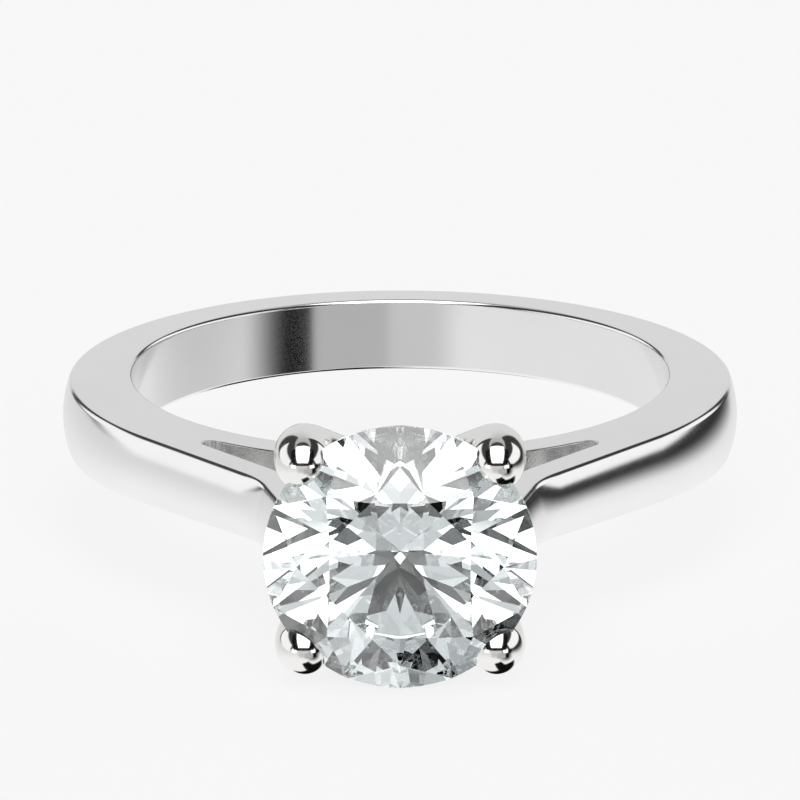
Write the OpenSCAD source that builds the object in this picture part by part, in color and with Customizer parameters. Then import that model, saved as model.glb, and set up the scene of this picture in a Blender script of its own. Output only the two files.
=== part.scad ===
// Four-claw solitaire ring with cathedral shoulders.
// The finger axis is +Z, the origin is the centre of the finger hole,
// and the head points along -Y. All sizes are in millimetres.

/* [Finger band] */
// Inside diameter of the band
finger_d = 17.35; // [17:0.05:17.5]
// Width of the band at the back of the finger
band_w = 2.45; // [2.3:0.05:2.6]
// Thickness of the rail that runs under the head
rail_t = 1.07; // [1.02:0.01:1.12]
// Thickness of the band's flat side, midway round
side_t = 1.8; // [1.74:0.01:1.84]
// How far the outer outline is shifted towards the head
swell = 0.55; // [0.5:0.01:0.6]
// How far the domed outside stands past the flat sides
dome_rise = 0.38; // [0.2:0.01:0.42]
// Angle that each side face closes in by towards the head
side_slope = 1.03; // [0:0.01:1.2]
// Width of the bevel round the finger hole
comfort_bevel = 0.12; // [0.05:0.01:0.2]

/* [Cathedral shoulders] */
// Angle from the head at which a shoulder leaves the round band
shoulder_angle = 49; // [48:0.5:50]
// Length of the straight part of a shoulder
shoulder_run = 5; // [4.9:0.1:5.1]
// Radius of the upward sweep where a shoulder nears the head
sweep_r = 3.5; // [3.2:0.1:3.8]
// Angle that the sweep turns a shoulder through
sweep_angle = 25; // [23:1:27]
// Thickness of a shoulder's flat side
shoulder_t = 0.84; // [0.8:0.01:0.88]
// Radius of the round end of the slit between shoulder and band
slit_tip_r = 0.26; // [0.22:0.01:0.28]

/* [Diamond] */
// Diameter of the stone at its girdle
stone_d = 8; // [7.8:0.05:8.1]
// Height of the girdle above the finger axis
girdle_h = 16.4; // [16.3:0.05:16.5]
// Width of the table, as a share of the stone's diameter
table_share = 0.555; // [0.53:0.005:0.6]
// Slope of the crown's main facets
crown_angle = 34.2; // [33:0.1:35.5]
// Slope of the pavilion's main facets
pavilion_angle = 40.9; // [40:0.1:42]
// Thickness of the girdle, as a share of the stone's diameter
girdle_share = 0.023; // [0.022:0.001:0.04]

/* [Claws and head] */
// Diameter of the ball on each claw
claw_d = 1.63; // [1.56:0.01:1.66]
// How much thinner the bent part of a claw is than its ball
claw_neck = 0.02; // [0.02:0.01:0.06]
// How much thinner a claw's straight leg is than its bent part
claw_thinning = 0.04; // [0.04:0.01:0.1]
// Distance of the claws' balls from the stone's axis
claw_reach = 4; // [3.96:0.01:4.04]
// How far the balls' centres sit below the girdle
claw_drop = 0.22; // [0.15:0.01:0.3]
// Angle that the claws' tips lean over the stone by
claw_tuck = 14; // [10:1:16]
// Radius of the bend in the claws, to the middle of the wire
claw_bend_r = 2.4; // [2.3:0.05:2.5]
// Angle that the claws lean in by, below their bend
claw_lean = 35; // [34:0.5:36]
// Radius of the gallery rail, to the middle of its wire
gallery_r = 2.95; // [2.9:0.01:3]
// Diameter of the gallery rail's wire
gallery_d = 0.76; // [0.7:0.01:0.8]
// Radius of the lower rail, to the middle of its wire
lower_rail_r = 1.55; // [1.5:0.01:1.6]
// Diameter of the lower rail's wire
lower_rail_d = 0.76; // [0.7:0.01:0.8]
// Diameter of the peg under the head
peg_d = 1.1; // [0.9:0.05:1.3]

/* [Hidden] */
$fn = 96;

// Larger than the whole ring, for cuts that go right through.
big = 60;

half_w = band_w / 2;
bore_r = finger_d / 2;
rail_r = bore_r + rail_t;
outer_r = bore_r + side_t;
dome_r = (half_w * half_w + dome_rise * dome_rise) / (2 * dome_rise);

// Outline of the left shoulder: a straight run off the band, then a sweep
// that turns up, then a short straight end under the gallery rail.
swell_centre = [0, -swell];
run_dir = [cos(shoulder_angle), -sin(shoulder_angle)];
run_out = [-sin(shoulder_angle), -cos(shoulder_angle)];
run_start = swell_centre + outer_r * run_out;
run_end = run_start + shoulder_run * run_dir;
sweep_centre = run_end + sweep_r * run_out;
end_angle = shoulder_angle + sweep_angle;
end_out = [-sin(end_angle), -cos(end_angle)];
end_start = sweep_centre - sweep_r * end_out;
end_run = 1.8;

// Stretches of one piece run this far into each other.
lap = 0.02;

// The slit's round end touches both the finger rail and the shoulder's inner side.
inner_offset = run_start * run_out - shoulder_t;
slit_angle = shoulder_angle - acos((inner_offset - slit_tip_r) / (rail_r + slit_tip_r));
slit_tip = (rail_r + slit_tip_r) * [-sin(slit_angle), -cos(slit_angle)];

// Heights above the finger axis, along the head's own axis.
stone_r = stone_d / 2;
girdle_half = stone_d * girdle_share / 2;
claw_r = claw_d / 2;
bend_wire_r = claw_r - claw_neck / 2;
leg_wire_r = bend_wire_r - claw_thinning / 2;
claw_ball_h = girdle_h - claw_drop;
claw_foot_h = 10.7;
gallery_h = 14.2;
lower_rail_h = 12.3;
base_bottom_h = 9.4;
base_top_h = 11.4;
base_bottom_r = 1.05;
base_top_r = 1.7;
peg_bottom_h = bore_r + 0.35;
peg_top_h = 10.4;
seat_play = 0.01;

// Corners of the facets round one main facet of the stone.
main_step = 45;
half_step = main_step / 2;
table_r = stone_r * table_share;
crown_h = (stone_r - table_r) * tan(crown_angle);
star_r = (table_r * cos(half_step) + stone_r) / 2;
star_h = (stone_r - star_r * cos(half_step)) * tan(crown_angle);
lower_half_share = 0.77;
lower_tip_r = stone_r * (1 - lower_half_share);
lower_tip_h = -(stone_r - lower_tip_r * cos(half_step)) * tan(pavilion_angle);
pavilion_h = stone_r * tan(pavilion_angle);

function ring_point(r, az, h) = [r * cos(az), r * sin(az), h];
function unit(v) = v / norm(v);
function outward(n, p) = n * p > 0 ? n : -n;
function facet_normal(a, b, c) = outward(unit(cross(b - a, c - a)), a);

// The head's own frame: its +Z runs from the finger axis out to the stone.
module on_head() {
    rotate([90, 0, 0]) children();
}

// Everything beyond the plane through p that faces along n.
module beyond(p, n) {
    translate(p)
        rotate([0, acos(n.z), atan2(n.y, n.x)])
            translate([-big / 2, -big / 2, 0]) cube(big);
}

// What lies past the side faces, which close in towards the head.
module past_sides() {
    for (s = [0, 1]) mirror([0, 0, s]) translate([-big / 2, 0, half_w]) {
        cube(big);
        rotate([side_slope, 0, 0]) translate([0, -big, 0]) cube(big);
    }
}

// Section of the domed strip; x = 0 is at the edge of the flat sides.
module dome_section(inner_t) {
    intersection() {
        translate([dome_rise - dome_r, 0]) circle(dome_r);
        translate([-inner_t, -half_w]) square([inner_t + dome_rise, band_w]);
    }
}

// The band outside the finger rail, away from the shoulders.
module outer_band() {
    difference() {
        translate(swell_centre)
            rotate_extrude() translate([outer_r, 0]) dome_section(side_t);
        linear_extrude(big, center = true)
            polygon([swell_centre, swell_centre + big * run_out,
                     [0, -2 * big],
                     swell_centre + big * [-run_out.x, run_out.y]]);
    }
}

module finger_hole() {
    cylinder(h = big, r = bore_r, center = true);
    for (s = [0, 1]) mirror([0, 0, s])
        translate([0, 0, half_w - comfort_bevel])
            cylinder(h = 2 * comfort_bevel, r1 = bore_r, r2 = bore_r + 2 * comfort_bevel);
}

module peg() {
    on_head() translate([0, 0, peg_bottom_h])
        cylinder(h = peg_top_h - peg_bottom_h, d = peg_d);
}

module shank() {
    color("gainsboro") difference() {
        union() {
            cylinder(h = band_w, r = rail_r, center = true);
            outer_band();
        }
        finger_hole();
        past_sides();
        peg();
    }
}

// A straight stretch of shoulder that leaves from p, facing along an angle.
module shoulder_bar(p, angle, length, start_lap) {
    translate(p) rotate([-90, 0, -90 - angle]) translate([0, 0, -start_lap])
        linear_extrude(length + start_lap) dome_section(shoulder_t);
}

module shoulder_sweep() {
    translate(sweep_centre) rotate([0, 0, 90 - end_angle])
        rotate_extrude(angle = sweep_angle)
            translate([sweep_r, 0]) mirror([1, 0]) dome_section(shoulder_t);
}

// The solid web between band and shoulder, up to the slit's round end.
module shoulder_web() {
    inner_edge = slit_tip_r + shoulder_t / 2;
    difference() {
        linear_extrude(band_w, center = true)
            polygon([run_start - shoulder_t / 2 * run_out, run_start - side_t * run_out,
                     slit_tip - side_t * run_out, slit_tip + inner_edge * run_out]);
        translate(slit_tip) cylinder(h = big, r = slit_tip_r, center = true);
    }
}

module shoulder() {
    color("gainsboro") difference() {
        union() {
            shoulder_bar(run_start, shoulder_angle, shoulder_run + lap, 0);
            shoulder_sweep();
            shoulder_bar(end_start, end_angle, end_run, lap);
            shoulder_web();
        }
        cylinder(h = big, r = rail_r, center = true);
        past_sides();
        gallery_ring();
    }
}

module left_shoulder() {
    shoulder();
}

module right_shoulder() {
    mirror([1, 0, 0]) shoulder();
}

// A ring of round wire at height h on the head's axis.
module wire_ring(h, ring_r, wire_d) {
    on_head() translate([0, 0, h])
        rotate_extrude() translate([ring_r, 0]) circle(d = wire_d);
}

module gallery_ring() {
    wire_ring(gallery_h, gallery_r, gallery_d);
}

module lower_ring() {
    wire_ring(lower_rail_h, lower_rail_r, lower_rail_d);
}

module gallery_rail() {
    color("silver") gallery_ring();
}

module lower_rail() {
    color("silver") lower_ring();
}

// The cone under the claws, saddled to sit on the finger rail.
module base_cone() {
    difference() {
        on_head() translate([0, 0, base_bottom_h])
            cylinder(h = base_top_h - base_bottom_h, r1 = base_bottom_r, r2 = base_top_r);
        cylinder(h = big, r = rail_r, center = true);
    }
}

module head_base() {
    color("silver") difference() {
        base_cone();
        peg();
    }
}

module head_peg() {
    color("darkgray") peg();
}

// The seat that a setter cuts in the claws, round the stone's edge.
module stone_seat() {
    seat_r = stone_r + seat_play;
    crown_slope = star_h / (stone_r - star_r);
    pavilion_slope = -lower_tip_h / (stone_r - lower_tip_r);
    on_head() translate([0, 0, girdle_h]) rotate_extrude()
        polygon([[0, -girdle_half - seat_r * pavilion_slope], [seat_r, -girdle_half],
                 [seat_r, girdle_half], [0, girdle_half + seat_r * crown_slope]]);
}

// One claw in the head's frame, in the plane of +X: a ball on the end of a bend,
// whose other end takes the straight leg.
module claw_wire() {
    leg_inset = 0.3;
    bend_axis = [claw_reach - claw_bend_r * cos(claw_tuck), 0,
                 claw_ball_h - claw_bend_r * sin(claw_tuck)];
    leg_run = (bend_axis.z - base_bottom_h) / cos(claw_lean);
    translate([claw_reach, 0, claw_ball_h]) sphere(claw_r);
    translate(bend_axis) rotate([-90, 0, 0]) rotate([0, 0, -claw_tuck])
        rotate_extrude(angle = claw_tuck + claw_lean)
            translate([claw_bend_r, 0]) circle(bend_wire_r);
    translate(bend_axis) rotate([0, claw_lean, 0])
        translate([claw_bend_r, 0, -leg_run])
            cylinder(h = leg_run + leg_inset, r = leg_wire_r);
}

module claw(azimuth) {
    color("silver") difference() {
        on_head() rotate([0, 0, azimuth]) claw_wire();
        stone_seat();
        gallery_ring();
        lower_ring();
        base_cone();
        on_head() translate([-big / 2, -big / 2, claw_foot_h - big]) cube(big);
    }
}

module claw_upper_left() {
    claw(135);
}

module claw_upper_right() {
    claw(45);
}

module claw_lower_left() {
    claw(-135);
}

module claw_lower_right() {
    claw(-45);
}

// Facets that repeat round the stone, as cuts off a plain round blank.
module crown_facets() {
    girdle_main = ring_point(stone_r, 0, 0);
    main_normal = [sin(crown_angle), 0, cos(crown_angle)];
    star_tip = ring_point(star_r, half_step, star_h);
    table_a = ring_point(table_r, 0, crown_h);
    table_b = ring_point(table_r, main_step, crown_h);
    beyond(girdle_main, main_normal);
    beyond(star_tip, facet_normal(star_tip, table_a, table_b));
    for (s = [-1, 1]) {
        tip = ring_point(star_r, s * half_step, star_h);
        edge = ring_point(stone_r, s * half_step, 0);
        beyond(tip, facet_normal(tip, edge, girdle_main));
    }
}

module pavilion_facets() {
    girdle_main = ring_point(stone_r, 0, 0);
    beyond(girdle_main, [sin(pavilion_angle), 0, -cos(pavilion_angle)]);
    for (s = [-1, 1]) {
        tip = ring_point(lower_tip_r, s * half_step, lower_tip_h);
        edge = ring_point(stone_r, s * half_step, 0);
        beyond(tip, facet_normal(tip, edge, girdle_main));
    }
}

module diamond() {
    color("aliceblue") on_head() translate([0, 0, girdle_h]) difference() {
        translate([0, 0, -girdle_half - pavilion_h])
            cylinder(h = pavilion_h + 2 * girdle_half + crown_h, r = stone_r);
        for (k = [0 : 7]) rotate([0, 0, half_step + k * main_step]) {
            translate([0, 0, girdle_half]) crown_facets();
            translate([0, 0, -girdle_half]) pavilion_facets();
        }
    }
}

shank();
left_shoulder();
right_shoulder();
head_base();
head_peg();
lower_rail();
gallery_rail();
claw_upper_left();
claw_upper_right();
claw_lower_left();
claw_lower_right();
diamond();
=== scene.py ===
"""Four-claw solitaire ring in polished white gold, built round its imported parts.

The finger axis is +Z, the origin is the centre of the finger hole and the head
points along -Y. Sizes in the classes are millimetres; meshes are stored in metres.
"""

import logging
import math
from collections.abc import Callable
from dataclasses import dataclass, field
from enum import Enum

import bmesh
import bpy
import numpy as np
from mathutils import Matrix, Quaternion, Vector
from mathutils.geometry import tessellate_polygon


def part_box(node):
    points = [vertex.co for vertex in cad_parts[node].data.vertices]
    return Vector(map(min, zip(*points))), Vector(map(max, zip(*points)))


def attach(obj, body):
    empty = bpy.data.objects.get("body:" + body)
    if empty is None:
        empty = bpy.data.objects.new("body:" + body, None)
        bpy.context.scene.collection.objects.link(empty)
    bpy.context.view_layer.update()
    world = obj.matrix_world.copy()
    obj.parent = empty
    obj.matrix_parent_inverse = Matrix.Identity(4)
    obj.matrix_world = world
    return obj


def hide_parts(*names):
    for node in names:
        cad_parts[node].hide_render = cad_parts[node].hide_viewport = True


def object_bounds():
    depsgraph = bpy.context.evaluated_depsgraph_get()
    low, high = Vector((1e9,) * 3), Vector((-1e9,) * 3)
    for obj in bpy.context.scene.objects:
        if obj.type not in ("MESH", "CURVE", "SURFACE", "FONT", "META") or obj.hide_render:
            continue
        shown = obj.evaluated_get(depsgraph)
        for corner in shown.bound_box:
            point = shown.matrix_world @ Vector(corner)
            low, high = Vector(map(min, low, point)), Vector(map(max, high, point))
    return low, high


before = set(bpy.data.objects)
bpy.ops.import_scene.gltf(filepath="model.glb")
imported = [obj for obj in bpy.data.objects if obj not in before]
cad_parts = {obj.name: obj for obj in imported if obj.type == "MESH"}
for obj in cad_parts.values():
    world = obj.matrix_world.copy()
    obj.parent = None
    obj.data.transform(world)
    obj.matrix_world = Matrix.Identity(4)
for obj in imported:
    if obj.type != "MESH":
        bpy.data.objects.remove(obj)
CAD_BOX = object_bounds()

MM = 0.001
BODY = "root"
WELD_GRID = 2e-5
WELD_SHIFT = 0.31415e-5
LEAST_AREA = 1e-11
HAZE_CLOUDS = 420.0
HALF_FACET = math.pi / 8
log = logging.getLogger("ring")


class Side(Enum):
    """The side of the head that a shoulder stands on."""

    LEFT = -1
    RIGHT = 1


class Corner(Enum):
    """Azimuth of each claw round the head, in degrees, seen from the stone."""

    UPPER_RIGHT = 45
    UPPER_LEFT = 135
    LOWER_LEFT = -135
    LOWER_RIGHT = -45


class Slot(Enum):
    """The record's material slots."""

    BAND = "band_metal"
    HEAD = "head_metal"
    STONE = "diamond"


# ---------------------------------------------------------------- node helpers


def add_node(tree: bpy.types.NodeTree, kind: str, **settings: object) -> bpy.types.Node:
    """Adds a node and sets its properties.

    Args:
        tree: The tree that takes the node.
        kind: The node's type name.
        **settings: Properties of the node, by name.

    Returns:
        The new node.
    """
    node = tree.nodes.new(kind)
    for name, value in settings.items():
        setattr(node, name, value)
    return node


def wire(tree: bpy.types.NodeTree, source: object, target: object) -> None:
    """Links a source socket, or plain value, to a target socket.

    Args:
        tree: The tree that holds both.
        source: An output socket, or the value that the target is set to.
        target: The input socket.
    """
    if isinstance(source, bpy.types.NodeSocket):
        tree.links.new(source, target)
    else:
        target.default_value = source


def maths(tree: bpy.types.NodeTree, operation: str, *values: object) -> bpy.types.NodeSocket:
    """Adds a Math node.

    Args:
        tree: The tree that takes the node.
        operation: Name of the operation.
        *values: Sockets or numbers, in order.

    Returns:
        The node's output socket.
    """
    node = add_node(tree, "ShaderNodeMath", operation=operation)
    for value, target in zip(values, node.inputs):
        wire(tree, value, target)
    return node.outputs[0]


def remap(
    tree: bpy.types.NodeTree,
    value: object,
    before: tuple[object, object],
    after: tuple[object, object],
    smooth: bool = False,
) -> bpy.types.NodeSocket:
    """Adds a Map Range node that clamps.

    Args:
        tree: The tree that takes the node.
        value: The socket or number to map.
        before: Start and end of the range it comes from.
        after: Start and end of the range it goes to.
        smooth: Whether it eases in and out.

    Returns:
        The mapped value's socket.
    """
    node = add_node(tree, "ShaderNodeMapRange")
    node.interpolation_type = "SMOOTHSTEP" if smooth else "LINEAR"
    for source, target in zip((value, *before, *after), node.inputs):
        wire(tree, source, target)
    return node.outputs[0]


def shader_group(
    name: str, takes: dict[str, str], gives: dict[str, str]
) -> tuple[bpy.types.NodeTree, bpy.types.Node, bpy.types.Node]:
    """Starts a shader node group.

    Args:
        name: The group's name.
        takes: Input names and their socket types.
        gives: Output names and their socket types.

    Returns:
        The tree, its input node and its output node.
    """
    tree = bpy.data.node_groups.new(name, "ShaderNodeTree")
    for label, kind in takes.items():
        tree.interface.new_socket(label, in_out="INPUT", socket_type=kind)
    for label, kind in gives.items():
        tree.interface.new_socket(label, in_out="OUTPUT", socket_type=kind)
    return tree, add_node(tree, "NodeGroupInput"), add_node(tree, "NodeGroupOutput")


def use_group(
    tree: bpy.types.NodeTree, group: bpy.types.NodeTree, **values: object
) -> bpy.types.Node:
    """Places a shader group in a tree.

    Args:
        tree: The tree that takes the group.
        group: The group.
        **values: Sockets or numbers for its inputs, with _ for each space.

    Returns:
        The placed group node.
    """
    node = add_node(tree, "ShaderNodeGroup", node_tree=group)
    for name, value in values.items():
        wire(tree, value, node.inputs[name.replace("_", " ")])
    return node


def start_material(name: str, **values: object) -> tuple[bpy.types.Material, bpy.types.Node]:
    """Starts a material with one Principled shader, wired to its output.

    Args:
        name: The material's name.
        **values: Values of the shader's own sockets, with _ for each space.

    Returns:
        The material and its shader node.
    """
    material = bpy.data.materials.new(name)
    material.use_nodes = True
    tree = material.node_tree
    tree.nodes.clear()
    shader = add_node(tree, "ShaderNodeBsdfPrincipled")
    for label, value in values.items():
        shader.inputs[label.replace("_", " ")].default_value = value
    output = add_node(tree, "ShaderNodeOutputMaterial")
    wire(tree, shader.outputs[0], output.inputs[0])
    return material, shader


def noise(
    tree: bpy.types.NodeTree, place: bpy.types.NodeSocket, scale: float, detail: float = 2.0
) -> bpy.types.NodeSocket:
    """Adds a cloudy pattern.

    Args:
        tree: The tree that takes it.
        place: Where on the piece it is read.
        scale: Clouds per metre, or per unit of a place that is already scaled.
        detail: How many finer layers it has.

    Returns:
        The pattern, from 0 to 1.
    """
    node = add_node(tree, "ShaderNodeTexNoise", noise_dimensions="3D")
    for value, label in ((place, "Vector"), (scale, "Scale"), (detail, "Detail")):
        wire(tree, value, node.inputs[label])
    return node.outputs["Fac"]


def add_bump(
    tree: bpy.types.NodeTree, height: bpy.types.NodeSocket, depth: float,
    shader: bpy.types.Node, strength: float = 1.0,
) -> None:
    """Adds a bump to a shader's surface.

    Args:
        tree: The tree that holds them.
        height: The height, from 0 to 1.
        depth: Depth of the bump, in millimetres.
        shader: The shader that takes it.
        strength: Share of the bump that shows.
    """
    bump = add_node(tree, "ShaderNodeBump")
    bump.inputs["Strength"].default_value = strength
    bump.inputs["Distance"].default_value = depth * MM
    wire(tree, height, bump.inputs["Height"])
    wire(tree, bump.outputs["Normal"], shader.inputs["Normal"])


# ------------------------------------------------------------------- finishes


def polish_group() -> bpy.types.NodeTree:
    """Builds the wear that a polishing mop and daily use leave on white gold.

    Returns:
        A group whose Haze is a cloudy mask, Lines the fine mop lines, and Height
        both of them together for a bump.
    """
    tree, given, result = shader_group(
        "polish_wear",
        {"Position": "NodeSocketVector", "Along": "NodeSocketVector"},
        {"Haze": "NodeSocketFloat", "Lines": "NodeSocketFloat", "Height": "NodeSocketFloat"},
    )
    cloud = noise(tree, given.outputs["Position"], HAZE_CLOUDS, detail=3.0)
    haze = remap(tree, cloud, (0.35, 0.7), (0.0, 1.0), smooth=True)
    fine = remap(tree, noise(tree, given.outputs["Along"], 1.0), (0.3, 0.7), (0.0, 1.0))
    wire(tree, haze, result.inputs["Haze"])
    wire(tree, fine, result.inputs["Lines"])
    both = maths(tree, "MULTIPLY_ADD", haze, 0.6, maths(tree, "MULTIPLY", fine, 0.4))
    wire(tree, both, result.inputs["Height"])
    return tree


@dataclass(frozen=True)
class PolishedGold:
    """Mirror-polished white gold.

    Attributes:
        name: The material's name.
        colour: Reflectance, red, green and blue.
        smooth: Roughness where the polish is cleanest.
        hazed: Roughness where the mop lines and haze are strongest.
        bump: Height of the wear, in millimetres.
        stretch: Noise scale round the band, through it and across it.
        dulled: Share of its brightness that the haze leaves.
        ior: Refractive index, which tints its grazing reflections.
    """

    name: str
    colour: tuple[float, float, float]
    smooth: float
    hazed: float
    bump: float
    stretch: tuple[float, float, float]
    dulled: float = 0.985
    ior: float = 2.2

    def build(self, wear: bpy.types.NodeTree) -> bpy.types.Material:
        """Makes the material.

        Args:
            wear: The shared polish_wear group.

        Returns:
            The material.
        """
        material, metal = start_material(self.name, Metallic=1.0, IOR=self.ior)
        tree = material.node_tree
        place = add_node(tree, "ShaderNodeTexCoord").outputs["Object"]
        split = add_node(tree, "ShaderNodeSeparateXYZ")
        wire(tree, place, split.inputs[0])
        x, y, z = split.outputs
        turn = maths(tree, "ARCTAN2", x, y)
        reach = maths(
            tree, "SQRT", maths(tree, "MULTIPLY_ADD", x, x, maths(tree, "MULTIPLY", y, y))
        )
        along = add_node(tree, "ShaderNodeCombineXYZ")
        for source, scale, target in zip((turn, reach, z), self.stretch, along.inputs):
            wire(tree, maths(tree, "MULTIPLY", source, scale), target)
        marks = use_group(tree, wear, Position=place, Along=along.outputs[0])
        tone = add_node(tree, "ShaderNodeMix", data_type="RGBA")
        wire(tree, marks.outputs["Haze"], tone.inputs[0])
        wire(tree, (*self.colour, 1.0), tone.inputs[6])
        wire(tree, (*(self.dulled * c for c in self.colour), 1.0), tone.inputs[7])
        wire(tree, tone.outputs[2], metal.inputs["Base Color"])
        spread = maths(
            tree, "MULTIPLY_ADD", marks.outputs["Haze"], 0.5,
            maths(tree, "MULTIPLY", marks.outputs["Lines"], 0.5),
        )
        rough = remap(tree, spread, (0.0, 1.0), (self.smooth, self.hazed))
        wire(tree, rough, metal.inputs["Roughness"])
        add_bump(tree, marks.outputs["Height"], self.bump, metal)
        return material


@dataclass(frozen=True)
class DiamondFinish:
    """Clear diamond, as polished on the facets or ground on the girdle.

    Attributes:
        name: The material's name.
        tint: Colour that each pass through a face keeps.
        grain: Scale of the marks of the wheel, per metre.
        marked: Range of the grain over which the marks come in.
        rough: Roughness where the marks are weakest and strongest.
        bump: Depth of the grain in millimetres, or 0 where it is polished away.
        ior: Refractive index.
    """

    name: str
    tint: tuple[float, float, float]
    grain: float
    marked: tuple[float, float]
    rough: tuple[float, float]
    bump: float = 0.0
    ior: float = 2.417

    def build(self) -> bpy.types.Material:
        """Makes the material.

        Returns:
            The material.
        """
        material, stone = start_material(
            self.name, Base_Color=(*self.tint, 1.0), Transmission_Weight=1.0, IOR=self.ior
        )
        tree = material.node_tree
        place = add_node(tree, "ShaderNodeTexCoord").outputs["Object"]
        grain = noise(tree, place, self.grain)
        wire(tree, remap(tree, grain, self.marked, self.rough), stone.inputs["Roughness"])
        if self.bump:
            add_bump(tree, grain, self.bump, stone, strength=0.5)
        return material


# ----------------------------------------------------------------- mesh making


def unit(v: np.ndarray) -> np.ndarray:
    """Scales vectors to length one.

    Args:
        v: Vectors along the last axis.

    Returns:
        The unit vectors.
    """
    return v / np.maximum(np.linalg.norm(v, axis=-1, keepdims=True), 1e-12)


def ease(v: np.ndarray, start: float, end: float) -> np.ndarray:
    """Rises smoothly from 0 at start to 1 at end.

    Args:
        v: Values.
        start: Where the rise starts.
        end: Where it ends.

    Returns:
        The eased values.
    """
    t = np.clip((v - start) / (end - start), 0.0, 1.0)
    return t * t * (3.0 - 2.0 * t)


@dataclass
class Draft:
    """Gathers patches of faces in millimetres, each corner with its own normal.

    Attributes:
        mirror: -1 to build the piece as its mirror image in X, else 1.
    """

    mirror: int = 1
    points: list[np.ndarray] = field(default_factory=list)
    normals: list[np.ndarray] = field(default_factory=list)
    faces: list[list[int]] = field(default_factory=list)
    size: int = 0

    def _keep(self, points: np.ndarray, normals: np.ndarray) -> int:
        """Stores a patch's points and returns the index of its first one."""
        flip = np.array([self.mirror, 1, 1])
        self.points.append(points.reshape(-1, 3) * flip)
        self.normals.append(unit(normals.reshape(-1, 3)) * flip)
        start = self.size
        self.size += len(self.points[-1])
        return start

    def grid(self, points: np.ndarray, normals: np.ndarray, loop: bool = False) -> None:
        """Adds a grid of quads.

        Args:
            points: Rows of points along a path, as rows x columns x 3.
            normals: The surface's normals, in the same shape.
            loop: Whether the last row joins the first.
        """
        rows, columns = points.shape[:2]
        start = self._keep(points, normals)
        for i in range(rows if loop else rows - 1):
            here = start + i * columns
            there = start + ((i + 1) % rows) * columns
            for j in range(columns - 1):
                self.faces.append([here + j, here + j + 1, there + j + 1, there + j])

    def region(self, outline: np.ndarray, normals: np.ndarray) -> None:
        """Fills a nearly flat outline with triangles.

        Args:
            outline: Points round the region.
            normals: The normal at each point, or one for all.
        """
        start = self._keep(outline, np.broadcast_to(normals, outline.shape))
        for corners in tessellate_polygon([[Vector(p) for p in outline]]):
            self.faces.append([start + k for k in corners])

    def mesh(self, name: str) -> bpy.types.Mesh:
        """Welds the patches into one mesh in metres.

        Args:
            name: The mesh's name.

        Returns:
            The mesh, with its corner normals set.
        """
        points = np.concatenate(self.points)
        normals = np.concatenate(self.normals)
        keys = np.round((points + WELD_SHIFT) / WELD_GRID).astype(np.int64)
        _, first, joined = np.unique(keys, axis=0, return_index=True, return_inverse=True)
        joined = joined.reshape(-1)
        welded = points[first]
        faces, corners, seen = [], [], set()
        for face in self.faces:
            kept = [k for i, k in enumerate(face) if joined[k] != joined[face[i - 1]]]
            ids = [int(joined[k]) for k in kept]
            if len(set(ids)) < 3 or len(set(ids)) < len(ids):
                continue
            corner = points[kept]
            area = np.zeros(3)
            for i in range(1, len(kept) - 1):
                area += np.cross(corner[i] - corner[0], corner[i + 1] - corner[0])
            if np.linalg.norm(area) < LEAST_AREA:
                continue
            if area @ normals[kept].sum(0) < 0:
                kept, ids = kept[::-1], ids[::-1]
            if frozenset(ids) in seen:
                continue
            seen.add(frozenset(ids))
            faces.append(ids)
            corners.append(normals[kept])
        mesh = bpy.data.meshes.new(name)
        mesh.from_pydata((welded * MM).tolist(), [], faces)
        mesh.polygons.foreach_set("use_smooth", [True] * len(faces))
        if mesh.validate(clean_customdata=False):
            log.warning("%s had faces that could not be kept", name)
        mesh.normals_split_custom_set(np.concatenate(corners).tolist())
        return mesh


def place_piece(
    name: str, mesh: bpy.types.Mesh, finish: bpy.types.Material, slot: Slot, *nodes: str
) -> bpy.types.Object:
    """Puts a mesh in the scene as a piece of the ring.

    Args:
        name: The piece's name.
        mesh: Its mesh, in metres.
        finish: Its material, used when the mesh has none.
        slot: The record's slot for it; not used.
        *nodes: CAD nodes that it stands for.

    Returns:
        The piece.
    """
    if not mesh.materials:
        mesh.materials.append(finish)
    piece = bpy.data.objects.new(name, mesh)
    bpy.context.scene.collection.objects.link(piece)
    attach(piece, BODY)
    if nodes:
        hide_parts(*nodes)
    log.info("%s: %d faces, %d points", name, len(mesh.polygons), len(mesh.vertices))
    return piece


# ------------------------------------------------------------------- the band


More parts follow.
